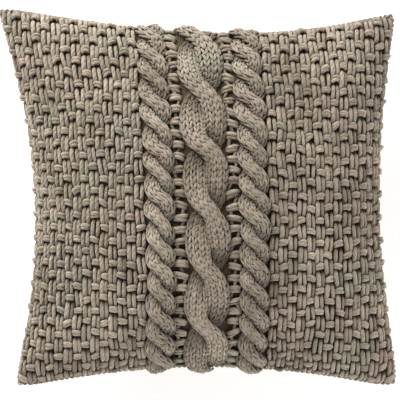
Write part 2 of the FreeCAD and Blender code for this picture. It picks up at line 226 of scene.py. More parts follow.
# The painted shade, or depth, that a cable's yarn has besides that from its height: at a strand's edges,
# under a crossing, and where a stitch comes out.
EDGE_SHADE = 0.85
UNDER_SHADE = 0.95
TOP_SHADE = 0.3
# The knitting's drift: its waves, the most radians in one across the pillow, its size, and how fast it
# starts at the rim.
WANDER_WAVES = 12
WANDER_TURN = 70
WANDER = 0.0009
WANDER_START = 12
# Yarn's depth, a painted shade from 0 to 1 that darkens its colour: the height above the cloth at which it
# is 0, how much of it the sides of a yarn have besides that, and the sine of the angle below which they have
# it.
UNSHADED_HEIGHT = 0.0031
SIDE_PAINTED_SHADE = 0.55
SIDE_FROM = 0.62
# The knitting comes down to the cloth at its edges, over this share of its length. It stops at a second
# share from the edge: of yarn that would run past that, only a small part does.
EDGE_FALL = 0.022
EDGE_STOP = 0.002
EDGE_GATHER = 0.12
# Over the zip no yarn hangs lower than this, up to a share of the knitting's length. Past that it may, by
# degrees.
ZIP_OVERHANG = 0.0008
ZIP_CLEAR = 0.012
ZIP_CLEAR_SLOPE = 0.25
# Yarn's texture coordinates: turns along it for a metre, and how far they differ between yarns.
UV_SCALE = 100
UV_SHIFT = 7
# How far a yarn's rounded end stands out, in radii.
YARN_END = 0.7

# The picture: the camera's height over the seam and how much it sees there, and the floor's size and depth.
CAMERA_HEIGHT = 2.2
CAMERA_SEES = 0.4628
CAMERA_AT = (0.0006, -0.0012)
SENSOR = 36
FLOOR_HALF = 6.0
FLOOR_Z = -0.0005
LIT_POINT = (0, 0, 0.06)
SKY_AT_HORIZON = 1.3
SKY_ABOVE = 0.12

UP = np.array((0.0, 0.0, 1.0))


def flat(values):
    """An array as the flat list of floats that Blender's foreach_set takes."""
    return np.asarray(values, dtype=np.float32).ravel()


def unit(vectors):
    """Vectors scaled to length 1."""
    return vectors / np.maximum(np.linalg.norm(vectors, axis=-1, keepdims=True), 1e-12)


# ---------------------------------------------------------------- the form


def near_side(x, inset):
    """y of the arc that the -Y side follows, at x."""
    radius = ARC_RADIUS + inset
    return ARC_MIDDLE_Y - ARC_RADIUS + np.sqrt(radius**2 - (x - ARC_X) ** 2)


def dipped(start, end, inward, dip, w, lean=0.0):
    """A side between two corners, pulled in at its middle. w runs from -1 to 1, and lean shifts the dip."""
    share = ((w + 1) / 2)[..., None]
    pull = (dip + lean * w) * (1 - w**2)
    return start * (1 - share) + end * share + np.array(inward) * pull[..., None]


def plan_point(u, v, inset):
    """The point of the outline's inside at u and v, each from -1 to 1: a Coons patch of the four sides."""
    far_left = np.array([FAR_LEFT[0] + inset, FAR_LEFT[1] - inset])
    far_right = np.array([FAR_RIGHT[0] - inset, FAR_RIGHT[1] - inset])
    left_x = NEAR_LEFT_X + inset
    right_x = NEAR_RIGHT_X - inset
    near_left = np.array([left_x, near_side(left_x, inset)])
    near_right = np.array([right_x, near_side(right_x, inset)])
    near_x = left_x * (0.5 - u / 2) + right_x * (0.5 + u / 2)
    near = np.stack([near_x, near_side(near_x, inset)], -1)
    far = dipped(far_left, far_right, (0, -1), FAR_DIP, u, FAR_LEAN)
    left = dipped(near_left, far_left, (1, 0), LEFT_DIP, v)
    right = dipped(near_right, far_right, (-1, 0), RIGHT_DIP, v)
    a = ((u + 1) / 2)[..., None]
    b = ((v + 1) / 2)[..., None]
    corners = (near_left * (1 - a) + near_right * a) * (1 - b) + (far_left * (1 - a) + far_right * a) * b
    point = near * (1 - b) + far * b + left * (1 - a) + right * a - corners
    rounding = np.where(v < 0, NEAR_CORNER_PULL, CORNER_PULL) * (u * v) ** CORNER_POWER
    return point * (1 - rounding)[..., None]


def dome_point(angle_u, angle_v, inset, rise, up):
    """A point of one domed half of the form. The angles run from -90 to 90 degrees, seam to seam."""
    plan = plan_point(np.sin(angle_u), np.sin(angle_v), inset)
    share = np.clip(np.cos(angle_u) * np.cos(angle_v), 0, 1) ** FULLNESS
    return np.concatenate([plan, (SEAM_Z + up * rise * share)[..., None]], -1)


def arc_shares(points, axis):
    """How far along its line each point of a grid is, from 0 to 1."""
    steps = np.linalg.norm(np.diff(points, axis=axis), axis=-1)
    zero = np.zeros_like(np.take(steps, [0], axis=axis))
    total = np.cumsum(np.concatenate([zero, steps], axis=axis), axis=axis)
    return total / np.take(total, [-1], axis=axis)


def even_dome(inset, rise, up):
    """A domed half as a grid whose lines are spaced evenly over the cloth, not over the plan."""
    angles = np.linspace(-math.pi / 2, math.pi / 2, FORM_GRID)
    even = np.linspace(0, 1, FORM_GRID)
    angle_u, angle_v = np.meshgrid(angles, angles, indexing="ij")
    for _ in range(SPACING_ROUNDS):
        shares = arc_shares(dome_point(angle_u, angle_v, inset, rise, up), 0)
        for j in range(FORM_GRID):
            angle_u[:, j] = np.interp(even, shares[:, j], angle_u[:, j])
        shares = arc_shares(dome_point(angle_u, angle_v, inset, rise, up), 1)
        for i in range(FORM_GRID):
            angle_v[i] = np.interp(even, shares[i], angle_v[i])
    return dome_point(angle_u, angle_v, inset, rise, up)


def cells(index):
    """The four-sided faces between the lines of a grid of point numbers."""
    corners = [index[:-1, :-1], index[1:, :-1], index[1:, 1:], index[:-1, 1:]]
    return np.stack(corners, -1).reshape(-1, 4)


def closed_form(front, back):
    """One closed mesh from two grids that share a rim. Returns its points, faces and both index grids."""
    count = FORM_GRID * FORM_GRID
    front_index = np.arange(count).reshape(FORM_GRID, FORM_GRID)
    inner = np.zeros((FORM_GRID, FORM_GRID), bool)
    inner[1:-1, 1:-1] = True
    back_index = front_index.copy()
    back_index[inner] = count + np.arange(inner.sum())
    points = np.concatenate([front.reshape(-1, 3), back[inner]])
    faces = np.concatenate([cells(front_index), cells(back_index)[:, ::-1]])
    return points, faces, front_index, back_index


def fill(points, faces, rim):
    """Fills the form with a cloth simulation and returns its points. The rim is the seam, and stays put."""
    mesh = bpy.data.meshes.new("form")
    mesh.from_pydata(points.tolist(), [], faces.tolist())
    form = bpy.data.objects.new("form", mesh)
    bpy.context.scene.collection.objects.link(form)
    group = form.vertex_groups.new(name="seam")
    group.add(rim.tolist(), 1.0, "REPLACE")
    cloth = form.modifiers.new("Filling", "CLOTH")
    settings = cloth.settings
    settings.quality = 7
    settings.mass = 0.25
    settings.tension_stiffness = 20
    settings.compression_stiffness = 20
    settings.shear_stiffness = 10
    settings.bending_stiffness = 2
    settings.vertex_group_mass = "seam"
    settings.use_pressure = True
    settings.uniform_pressure_force = PRESSURE
    settings.effector_weights.gravity = 0
    cloth.point_cache.frame_start = 1
    cloth.point_cache.frame_end = FRAMES
    for number in range(1, FRAMES + 1):
        bpy.context.scene.frame_set(number)
    filled = form.evaluated_get(bpy.context.evaluated_depsgraph_get())
    after = np.zeros(len(points) * 3)
    filled.data.vertices.foreach_get("co", after)
    bpy.data.objects.remove(form)
    bpy.context.scene.frame_set(1)
    moved = after.reshape(-1, 3) - points
    length = np.linalg.norm(moved, axis=1, keepdims=True)
    return points + moved * np.minimum(1, CLOTH_LIMIT / np.maximum(length, 1e-9))


class Surface:
    """A smooth surface through a square grid of points, read at s and t. Both run from 0 to 1: s from left
    to right, t from the near side to the far one."""

    def __init__(self, grid):
        self.size = len(grid)
        first = 2 * grid[:1] - grid[1:2]
        last = 2 * grid[-1:] - grid[-2:-1]
        grid = np.concatenate([first, grid, last], 0)
        low = 2 * grid[:, :1] - grid[:, 1:2]
        high = 2 * grid[:, -1:] - grid[:, -2:-1]
        self.grid = np.concatenate([low, grid, high], 1)

    def weights(self, share):
        """The cell that share falls in, and the weights and slopes of the four grid lines round it."""
        place = np.asarray(share, float) * (self.size - 1)
        cell = np.clip(np.floor(place), 0, self.size - 2).astype(int)
        f = place - cell
        weights = np.stack(
            [
                -0.5 * f + f**2 - 0.5 * f**3,
                1 - 2.5 * f**2 + 1.5 * f**3,
                0.5 * f + 2 * f**2 - 1.5 * f**3,
                -0.5 * f**2 + 0.5 * f**3,
            ]
        )
        slopes = np.stack(
            [
                -0.5 + 2 * f - 1.5 * f**2,
                -5 * f + 4.5 * f**2,
                0.5 + 4 * f - 4.5 * f**2,
                -f + 1.5 * f**2,
            ]
        )
        return cell, weights, slopes

    def read(self, s, t):
        """The points and the outward normals at s and t."""
        cell_s, weights_s, slopes_s = self.weights(s)
        cell_t, weights_t, slopes_t = self.weights(t)
        point = 0.0
        along_s = 0.0
        along_t = 0.0
        for i in range(4):
            for j in range(4):
                corner = self.grid[cell_s + i, cell_t + j]
                point = point + corner * (weights_s[i] * weights_t[j])[..., None]
                along_s = along_s + corner * (slopes_s[i] * weights_t[j])[..., None]
                along_t = along_t + corner * (weights_s[i] * slopes_t[j])[..., None]
        return point, unit(np.cross(along_s, along_t))

    def place(self, s, t, height):
        """The points at a height above the surface, and the normals there."""
        point, normal = self.read(s, t)
        return point + normal * np.asarray(height)[..., None], normal


def open_slot(grid, up):
    """Parts the seam at the zip. The cloth next to it follows, less and less."""
    arc_x = grid[..., 0] - ARC_X
    edge = np.clip((SLOT_HALF_LENGTH - np.abs(arc_x)) / SLOT_TAPER, 0, 1)
    gap = np.linalg.norm(grid - grid[:, :1], axis=-1)
    share = edge * np.exp(-((gap / SLOT_REACH) ** 2))
    grid[..., 2] += up * SLOT_HALF_HEIGHT * share
    return grid


def make_form():
    """The two halves of the filled form: the front with its outward side up, and the back."""
    front = even_dome(FORM_INSET, FRONT_RISE * SLACK, 1)
    back = even_dome(FORM_INSET, BACK_RISE * SLACK, -1)
    points, faces, front_index, back_index = closed_form(front, back)
    rim = np.intersect1d(front_index, back_index)
    points = fill(points, faces, rim)
    points[:, 2] = np.maximum(points[:, 2], BACK_FACES[0])
    front = open_slot(points[front_index], 1)
    back = open_slot(points[back_index], -1)
    return front, back


# ---------------------------------------------------------------- meshes


def link(name, mesh, material, nodes, body="pillow"):
    """Puts a mesh in the scene as one piece: it rides on its body and stands for its CAD nodes."""
    mesh.materials.append(material)
    piece = bpy.data.objects.new(name, mesh)
    bpy.context.scene.collection.objects.link(piece)
    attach(piece, body)
    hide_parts(*nodes)
    return piece


def mesh_of(name, points, quads, triangles=None, uv=None, values=None):
    """A smooth-shaded mesh from arrays. uv has a row for each face corner, and values holds named arrays
    with a number for each point."""
    triangles = np.zeros((0, 3), int) if triangles is None else triangles
    mesh = bpy.data.meshes.new(name)
    mesh.vertices.add(len(points))
    mesh.vertices.foreach_set("co", flat(points))
    corners = np.concatenate([quads.ravel(), triangles.ravel()])
    mesh.loops.add(len(corners))
    mesh.loops.foreach_set("vertex_index", corners.astype(np.int32))
    count = len(quads) + len(triangles)
    starts = np.concatenate([np.arange(len(quads)) * 4, quads.size + np.arange(len(triangles)) * 3])
    mesh.polygons.add(count)
    mesh.polygons.foreach_set("loop_start", starts.astype(np.int32))
    mesh.polygons.foreach_set("use_smooth", np.ones(count, bool))
    if uv is not None:
        layer = mesh.uv_layers.new(name="Yarn")
        layer.data.foreach_set("uv", flat(uv))
    for key, amounts in (values or {}).items():
        attribute = mesh.attributes.new(key, "FLOAT", "POINT")
        attribute.data.foreach_set("value", flat(amounts))
    mesh.update(calc_edges=True)
    mesh.validate()
    return mesh


class Yarns:
    """A batch of short lengths of yarn that become one mesh. Each has its own centre line, thickness and
    tone, and carries a painted shade, its depth, that darkens its colour; its sides and underside get more
    of it."""

    def __init__(self, ring):
        self.ring = ring
        self.points = []
        self.quads = []
        self.triangles = []
        self.quad_uv = []
        self.cap_uv = []
        self.tones = []
        self.painted_shades = []
        self.count = 0

    def add(self, paths, ups, radius, depth=0.0):
        """paths is (yarns, points, 3). ups points off the cloth. radius and depth fit (yarns, points); depth
        is painted shade.
        """
        yarns, steps, _ = paths.shape
        ring = self.ring
        radius = np.broadcast_to(radius, (yarns, steps))
        depth = np.broadcast_to(depth, (yarns, steps))
        along = unit(np.gradient(paths, axis=1))
        side = unit(np.cross(along, ups))
        up = np.cross(side, along)
        turn = np.linspace(0, 2 * math.pi, ring, endpoint=False)
        spokes = np.cos(turn)[:, None] * side[:, :, None] + np.sin(turn)[:, None] * up[:, :, None]
        rings = paths[:, :, None] + radius[:, :, None, None] * spokes
        first = paths[:, 0] - along[:, 0] * radius[:, :1] * YARN_END
        last = paths[:, -1] + along[:, -1] * radius[:, -1:] * YARN_END
        points = np.concatenate([rings.reshape(yarns, -1, 3), first[:, None], last[:, None]], 1)
        k, j = np.meshgrid(np.arange(steps - 1), np.arange(ring), indexing="ij")
        after = (j + 1) % ring
        quads = np.stack([k * ring + j, k * ring + after, (k + 1) * ring + after, (k + 1) * ring + j], -1)
        j = np.arange(ring)
        after = (j + 1) % ring
        start_pole = steps * ring
        end = (steps - 1) * ring
        triangles = np.concatenate(
            [
                np.stack([np.full(ring, start_pole), after, j], -1),
                np.stack([np.full(ring, start_pole + 1), end + j, end + after], -1),
            ]
        )
        length = np.linalg.norm(np.diff(paths, axis=1), axis=-1).mean(0).cumsum()
        length = np.concatenate([[0.0], length])
        offset = rng.uniform(0, 1, (yarns, 1))
        quad_u = np.stack([length[k], length[k], length[k + 1], length[k + 1]], -1).reshape(-1)
        spoke = np.broadcast_to(np.arange(ring), k.shape)
        quad_v = np.stack([spoke, spoke + 1, spoke + 1, spoke], -1).reshape(-1) / ring
        cap_u = np.concatenate([np.zeros(3 * ring), np.full(3 * ring, length[-1])])
        cap_v = np.concatenate([np.stack([j, j + 1, j], -1).reshape(-1)] * 2) / ring
        stride = points.shape[1]
        base = self.count + np.arange(yarns)[:, None, None] * stride
        self.points.append(points.reshape(-1, 3))
        self.quads.append((quads.reshape(1, -1, 4) + base).reshape(-1, 4))
        self.triangles.append((triangles.reshape(1, -1, 3) + base).reshape(-1, 3))
        for u, v, kept in ((quad_u, quad_v, self.quad_uv), (cap_u, cap_v, self.cap_uv)):
            kept.append(np.stack([u * UV_SCALE + offset, v + offset * UV_SHIFT], -1).reshape(-1, 2))
        tone = rng.normal(0, 1, (yarns, 1))
        self.tones.append(np.broadcast_to(tone, (yarns, stride)).reshape(-1))
        # Painted shade: the sides and underside of each yarn get a darker colour on top of its depth.
        side_shade = SIDE_PAINTED_SHADE * np.clip(SIDE_FROM - np.sin(turn), 0, 1)
        ring_shades = (depth[:, :, None] + side_shade).reshape(yarns, -1)
        self.painted_shades.append(np.concatenate([ring_shades, depth[:, :1], depth[:, -1:]], 1).reshape(-1))
        self.count += yarns * stride

    def mesh(self, name):
        """The batch as one mesh."""
        return mesh_of(
            name,
            np.concatenate(self.points),
            np.concatenate(self.quads),
            np.concatenate(self.triangles),
            np.concatenate(self.quad_uv + self.cap_uv),
            {
                "tone": np.concatenate(self.tones),
                # depth is painted shade, which the yarn material turns into darker colour.
                "depth": np.clip(np.concatenate(self.painted_shades), 0, 1),
            },
        )


def jitter(shape, amount):
    """Random numbers round 0 with this standard deviation."""
    return rng.normal(0, amount, shape)


# ---------------------------------------------------------------- materials


class Nodes:
    """A material's node tree, built a node at a time."""

    def __init__(self, name):
        self.material = bpy.data.materials.new(name)
        self.material.use_nodes = True
        self.tree = self.material.node_tree
        self.tree.nodes.clear()
        self.output = self.tree.nodes.new("ShaderNodeOutputMaterial")

    def feed(self, socket, value):
        """Links an output to the socket, or gives it a value of its own."""
        if isinstance(value, bpy.types.NodeSocket):
            self.tree.links.new(value, socket)
        else:
            socket.default_value = value

    def add(self, kind, inputs=None, **settings):
        """A node with these settings and inputs."""
        node = self.tree.nodes.new("ShaderNode" + kind)
        for key, value in settings.items():
            setattr(node, key, value)
        for key, value in (inputs or {}).items():
            self.feed(node.inputs[key], value)
        return node

    def place(self):
        """Where a point is on its piece, in metres."""
        return self.add("TexCoord").outputs["Object"]

    def along_yarn(self):
        """A yarn's own coordinates: along it, then round it."""
        return self.add("UVMap", uv_map="Yarn").outputs[0]

    def of_point(self, name):
        """The value of this name that a mesh holds for its points."""
        return self.add("Attribute", attribute_name=name).outputs["Fac"]

    def math(self, operation, first, second=0.0):
        """A sum of two values, or another operation on them."""
        return self.add("Math", {0: first, 1: second}, operation=operation).outputs[0]

    def times(self, first, second):
        """Two values multiplied."""
        return self.math("MULTIPLY", first, second)

    def total(self, first, *others):
        """Values added up."""
        for other in others:
            first = self.math("ADD", first, other)
        return first

    def mix(self, share, first, second):
        """A blend of two colours."""
        node = self.add("Mix", data_type="RGBA", blend_type="MIX")
        for number, value in ((0, share), (6, first), (7, second)):
            self.feed(node.inputs[number], value)
        return node.outputs[2]

    def scaled(self, value, low, high, from_low=0.0, from_high=1.0):
        """value, mapped from one range to another and kept inside it."""
        ends = {"From Min": from_low, "From Max": from_high, "To Min": low, "To Max": high}
        return self.add("MapRange", {"Value": value} | ends).outputs[0]

    def spread(self, noise, low, high):
        """A noise, whose values are mostly from 0.3 to 0.7, mapped to a range."""
        return self.scaled(noise, low, high, 0.3, 0.7)

    def stretched(self, vector, *scale):
        """vector with its axes scaled."""
        return self.add("Mapping", {"Vector": vector, "Scale": scale}).outputs[0]

    def noise(self, vector, scale, detail=3.0, roughness=0.55):
        """A cloudy value from 0 to 1."""
        sockets = {"Vector": vector, "Scale": scale, "Detail": detail, "Roughness": roughness}
        return self.add("TexNoise", sockets).outputs["Fac"]

    def tinted(self, base, light):
        """A colour made lighter or darker."""
        return self.add("HueSaturation", {"Color": base, "Value": light}).outputs[0]

    def bump(self, height, distance, strength=1.0, under=None):
        """The normal of a relief, on top of the one under it."""
        inputs = {"Height": height, "Distance": distance, "Strength": strength}
        if under is not None:
            inputs["Normal"] = under
        return self.add("Bump", inputs).outputs[0]

    def finish(self, base, roughness, normal=None, **fixed):
        """The material, with a shader of this colour. fixed names its other inputs, with _ for a space."""
        inputs = {"Base Color": base, "Roughness": roughness}
        if normal is not None:
            inputs["Normal"] = normal
        inputs.update({key.replace("_", " "): value for key, value in fixed.items()})
        shader = self.add("BsdfPrincipled", inputs)
        self.tree.links.new(shader.outputs[0], self.output.inputs["Surface"])
        return self.material


def colour(red, green, blue):
    """An opaque colour, in linear light."""
    return (red, green, blue, 1.0)


def yarn_material():
    """Soft plied yarn in mottled taupe: twisted plies, fine fibres, and patches that lean pink or green. Its
    colour is darkened by painted shade where the yarn's depth says so.
    """
    twist_turns = 1.6
    plies = 3.0
    nodes = Nodes("knit_yarn")
    place = nodes.place()
    along = nodes.along_yarn()
    parts = nodes.add("SeparateXYZ", {0: along})
    slant = nodes.total(nodes.times(parts.outputs[0], twist_turns), nodes.times(parts.outputs[1], plies))
    twist = nodes.math("SINE", nodes.times(slant, 2 * math.pi))
    fibres = nodes.noise(nodes.stretched(along, 1.3, 8.0, 1.0), 1.6, 4.0, 0.7)
    lint = nodes.noise(place, 900.0, 2.0)
    patches = nodes.noise(place, 14.0)
    hues = nodes.noise(place, 22.0, 2.0)
    elsewhere = nodes.add("Mapping", {"Vector": place, "Location": (3.0, 1.0, 2.0)}).outputs[0]
    greens = nodes.noise(elsewhere, 17.0, 2.0)
    dark_taupe = colour(0.275, 0.226, 0.168)
    light_taupe = colour(0.44, 0.375, 0.292)
    base = nodes.mix(nodes.scaled(patches, 0, 1, 0.35, 0.65), dark_taupe, light_taupe)
    base = nodes.mix(nodes.scaled(hues, 0, 0.55, 0.5, 0.68), base, colour(0.45, 0.35, 0.30))
    base = nodes.mix(nodes.scaled(greens, 0, 0.5, 0.52, 0.7), base, colour(0.29, 0.30, 0.23))
    light = nodes.total(
        nodes.scaled(nodes.of_point("tone"), 0.84, 1.16, -2, 2),
        nodes.spread(fibres, -0.32, 0.30),
        # Painted light and shade: the ply twist makes the crests lighter and the grooves darker in colour.
        nodes.scaled(twist, -0.09, 0.05, -1, 1),
        nodes.spread(lint, -0.08, 0.08),
    )
    # Painted shade: the depth darkens the yarn and tints it towards dark brown, where shadow would fall.
    depth = nodes.of_point("depth")
    light = nodes.times(light, nodes.scaled(depth, 1.01, 0.42))
    shaded = nodes.tinted(base, light)
    shaded = nodes.mix(nodes.scaled(depth, 0.0, 0.40), shaded, colour(0.095, 0.068, 0.032))
    normal = nodes.bump(twist, 0.00028, 0.8)
    normal = nodes.bump(fibres, 0.0008, 0.9, normal)
    normal = nodes.bump(lint, 0.0002, 0.6, normal)
    roughness = nodes.spread(fibres, 0.78, 0.98)
    soft = {"Sheen_Weight": 0.35, "Sheen_Roughness": 0.45, "Specular_IOR_Level": 0.15}
    return nodes.finish(shaded, roughness, normal, **soft)


def weave_material(name, dark, light, pitch, sheen):
    """A plain weave of two sets of threads, with uneven threads and a little lint."""
    nodes = Nodes(name)
    place = nodes.place()
    parts = nodes.add("SeparateXYZ", {0: place})
    turn = math.pi / pitch
    warp = nodes.math("SINE", nodes.times(parts.outputs[0], turn))
    weft = nodes.math("SINE", nodes.times(nodes.total(parts.outputs[1], parts.outputs[2]), turn))
    crossing = nodes.times(warp, weft)
    slubs = nodes.noise(nodes.stretched(place, 1, 8, 8), 60.0)
    lint = nodes.noise(place, 1400.0, 2.0)
    patches = nodes.noise(place, 12.0)
    share = nodes.total(
        nodes.scaled(crossing, -0.25, 0.25, -1, 1),
        nodes.spread(slubs, 0.2, 0.8),
        nodes.spread(patches, -0.2, 0.2),
    )
    normal = nodes.bump(crossing, pitch * 0.22, 0.9)
    normal = nodes.bump(lint, 0.0002, 0.5, normal)
    roughness = nodes.spread(slubs, 0.75, 0.95)
    soft = {"Sheen_Weight": sheen, "Sheen_Roughness": 0.5, "Specular_IOR_Level": 0.2}
    return nodes.finish(nodes.mix(share, dark, light), roughness, normal, **soft)


def thread_material(name, base, roughness, specular):
    """A fine twisted thread or coil of one colour, a little uneven along its length."""
    nodes = Nodes(name)
    streaks = nodes.noise(nodes.stretched(nodes.along_yarn(), 3.0, 9.0, 1.0), 2.0)
    patches = nodes.noise(nodes.place(), 45.0)
    light = nodes.total(nodes.spread(streaks, 0.86, 1.12), nodes.spread(patches, -0.08, 0.08))
    normal = nodes.bump(streaks, 0.0001, 0.6)
    rough = nodes.spread(streaks, roughness - 0.08, roughness + 0.08)
    return nodes.finish(nodes.tinted(base, light), rough, normal, Specular_IOR_Level=specular)


def enamel_material():
    """Satin enamel in the yarn's colour, on the zip's metal: faint ripples, and patches that are duller."""
    nodes = Nodes("zip_metal")
    place = nodes.place()
    ripples = nodes.noise(nodes.stretched(place, 6.0, 1.0, 1.0), 900.0)
    wear = nodes.noise(place, 160.0)
    share = nodes.scaled(wear, 0, 1, 0.35, 0.65)
    enamel = nodes.mix(share, colour(0.25, 0.21, 0.17), colour(0.33, 0.285, 0.235))
    rough = nodes.total(nodes.scaled(wear, 0.42, 0.28), nodes.scaled(ripples, -0.05, 0.08))
    normal = nodes.bump(ripples, 0.00003, 0.5)
    return nodes.finish(enamel, rough, normal, Coat_Weight=0.35, Coat_Roughness=0.2)


def wadding_material():
    """Matted polyester fibre."""
    nodes = Nodes("insert_wadding")
    place = nodes.place()
    clumps = nodes.noise(place, 60.0, 4.0)
    hairs = nodes.noise(nodes.stretched(place, 1, 6, 3), 700.0)
    white = nodes.mix(clumps, colour(0.72, 0.72, 0.70), colour(0.88, 0.88, 0.86))
    normal = nodes.bump(hairs, 0.0004, 0.6, nodes.bump(clumps, 0.002, 0.6))
    return nodes.finish(white, nodes.scaled(hairs, 0.85, 1.0), normal, Sheen_Weight=0.4)


# ---------------------------------------------------------------- knitting


def band_edges(front):
    """s where the bands meet, read off the front's middle line."""
    middle = front[:, FORM_GRID // 2, 0]
    shares = np.linspace(0, 1, FORM_GRID)
    places = [
        LEFT_CABLE_START,
        LEFT_GUTTER_START,
        WIDE_CABLE_START,
        RIGHT_GUTTER_START,
        RIGHT_CABLE_START,
        RIGHT_CABLE_END,
    ]
    return [0.0, *np.interp(places, middle, shares), 1.0]


def make_wander():
    """A smooth, uneven drift over the cloth, as hand knitting has. Returns a function of s and t."""
    waves = rng.uniform(-1, 1, (2, WANDER_WAVES, 2)) * WANDER_TURN
    phases = rng.uniform(0, 2 * math.pi, (2, WANDER_WAVES))

    def drift(s, t, axis):
        """How far s (axis 0) or t (axis 1) is off."""
        angle = waves[axis, :, 0] * s[..., None] + waves[axis, :, 1] * t[..., None] + phases[axis]
        return np.sin(angle).sum(-1) * WANDER

    return drift


wander = make_wander()


def lay(surface, yarns, s, t, height, radius, extra_shade=0.0):
    """Lays yarns on the surface. s, t and height are (yarns, points). extra_shade is added to their painted
    shade, their depth.
    """
    stopped = np.clip(t, EDGE_STOP, 1 - EDGE_STOP)
    t = stopped + EDGE_GATHER * (t - stopped)
    inside_s = np.clip(np.minimum(s, 1 - s) * WANDER_START, 0, 1)
    inside_t = np.clip(np.minimum(t, 1 - t) * WANDER_START, 0, 1)
    drifted_s = s + wander(s, t, 0) * inside_s * inside_t
    drifted_t = t + wander(s, t, 1) * inside_s * inside_t
    # Painted shade: yarn that lies low on the cloth gets a darker colour, as if in shadow.
    depth = np.clip(1 - height / UNSHADED_HEIGHT, 0, 1) + extra_shade
    fall = np.clip(np.minimum(t, 1 - t) / EDGE_FALL, 0, 1) ** 0.5
    over_zip = radius - ZIP_OVERHANG - ZIP_CLEAR_SLOPE * np.maximum(t - ZIP_CLEAR, 0)
    points, normals = surface.place(drifted_s, drifted_t, np.maximum(height * fall, over_zip))
    yarns.add(points, normals, radius, depth)


def bumps(surface, yarns, s, t, width, step, shape):
    """Purl bumps at s and t, each a knot of two stacked yarns that arch over the cell and dive in."""
    varies = BUMP_VARIES
    share = np.linspace(-1, 1, 9)[None]
    count = len(s)
    each = (count, 1)
    lean = jitter(each, shape["lean"])
    knot_s = s + jitter(count, varies["s"]) * width
    knot_t = t + jitter(count, varies["t"]) * step
    for stack in (-1, 1):
        centre_s = knot_s + jitter(count, varies["yarn"]) * width
        centre_t = knot_t + shape["spread"] * stack * step
        across = share * (shape["reach"] + BUMP_UPPER_REACH * stack + jitter(each, varies["reach"]))
        tilt = lean + jitter(each, shape["lean"] / 2)
        upward = tilt * share - BUMP_DROOP * np.abs(share) ** 2.5
        dive = np.abs(share) ** 3
        lift = shape["height"] + jitter(each, varies["height"]) + BUMP_UPPER_RISE * stack
        rise = lift * (1 - dive) + BUMP_END_HEIGHT * dive
        thick = shape["radius"] * (1 + jitter(each, varies["radius"])) * (1 - BUMP_TAPER * dive)
        yarn_s = centre_s[:, None] + across * width
        yarn_t = centre_t[:, None] + upward * step
        lay(surface, yarns, yarn_s, yarn_t, rise, thick)


def legs(surface, yarns, s, t, width, step):
    """Knit stitches at s and t, each of two upright yarns. They come out from under one bump, in a hollow
    that is darkened partly by painted shade on their upper ends, and run down under the next."""
    varies = LEG_VARIES
    share = np.linspace(-1, 1, 11)[None]
    count = len(s)
    each = (count, 1)
    for shape in (LEFT_LEG, RIGHT_LEG):
        centre_s = s + jitter(count, varies["s"]) * width
        lean = jitter(each, varies["lean"])
        across = shape["at"] * (1 - LEG_BOW * share**4) + lean * share
        upward = share * LEG_REACH - LEG_SHIFT + jitter(each, varies["t"])
        dive = np.where(share > 0, np.abs(share) ** 5, np.abs(share) ** 3)
        lift = shape["height"] + jitter(each, varies["height"])
        rise = lift * (1 - dive) - np.where(share > 0, LEG_TUCK, 0.0) * dive
        thick = shape["radius"] * (1 + jitter(each, varies["radius"])) * (1 - LEG_TAPER * share**6)
        # Painted shade on the upper ends, where they tuck under the bump.
        top = LEG_SHADE * np.clip((share - LEG_SHADE_FROM) / LEG_SHADE_OVER, 0, 1)
        yarn_s = centre_s[:, None] + across * width
        lay(surface, yarns, yarn_s, t[:, None] + upward * step, rise, thick, top)


def moss(surface, start, end, name, material, first):
    """A panel of moss stitch between two values of s: bumps and upright stitches in a checkerboard."""
    yarns = Yarns(10)
    width = (end - start) / MOSS_COLUMNS
    step = 1 / MOSS_ROWS
    column, row = np.meshgrid(np.arange(MOSS_COLUMNS), np.arange(MOSS_ROWS), indexing="ij")
    bump = (column + row + first) % 2 == 0
    s = start + (column + 0.5) * width
    t = (row + 0.5) * step
    legs(surface, yarns, s[~bump], t[~bump], width, step)
    bumps(surface, yarns, s[bump], t[bump], width, step, BUMP)
    return link(name, yarns.mesh(name), material, ["front_panel"])


def ladder(surface, start, end, yarns):
    """A sunken column of purl bumps beside a cable, with a loose yarn between each and the next."""
    step = 1 / MOSS_ROWS
    t = (np.arange(MOSS_ROWS) + 0.5) * step
    s = np.full(MOSS_ROWS, (start + end) / 2)
    width = end - start
    bumps(surface, yarns, s, t, width, step, LADDER_BUMP)
    share = np.linspace(-1, 1, 7)[None]
    at = rng.choice(RUNG_PLACES, (MOSS_ROWS, 1))
    lean = jitter((MOSS_ROWS, 1), RUNG_VARIES["lean"])
    t = t[:, None] + (0.5 + RUNG["reach"] * share) * step
    s = s[:, None] + (at + lean * share) * width
    keep = t.max(1) < 1
    rise = RUNG["height"] - RUNG["sag"] * share**2 + jitter((MOSS_ROWS, 1), RUNG_VARIES["height"])
    lay(surface, yarns, s[keep], t[keep], rise[keep], RUNG["radius"])


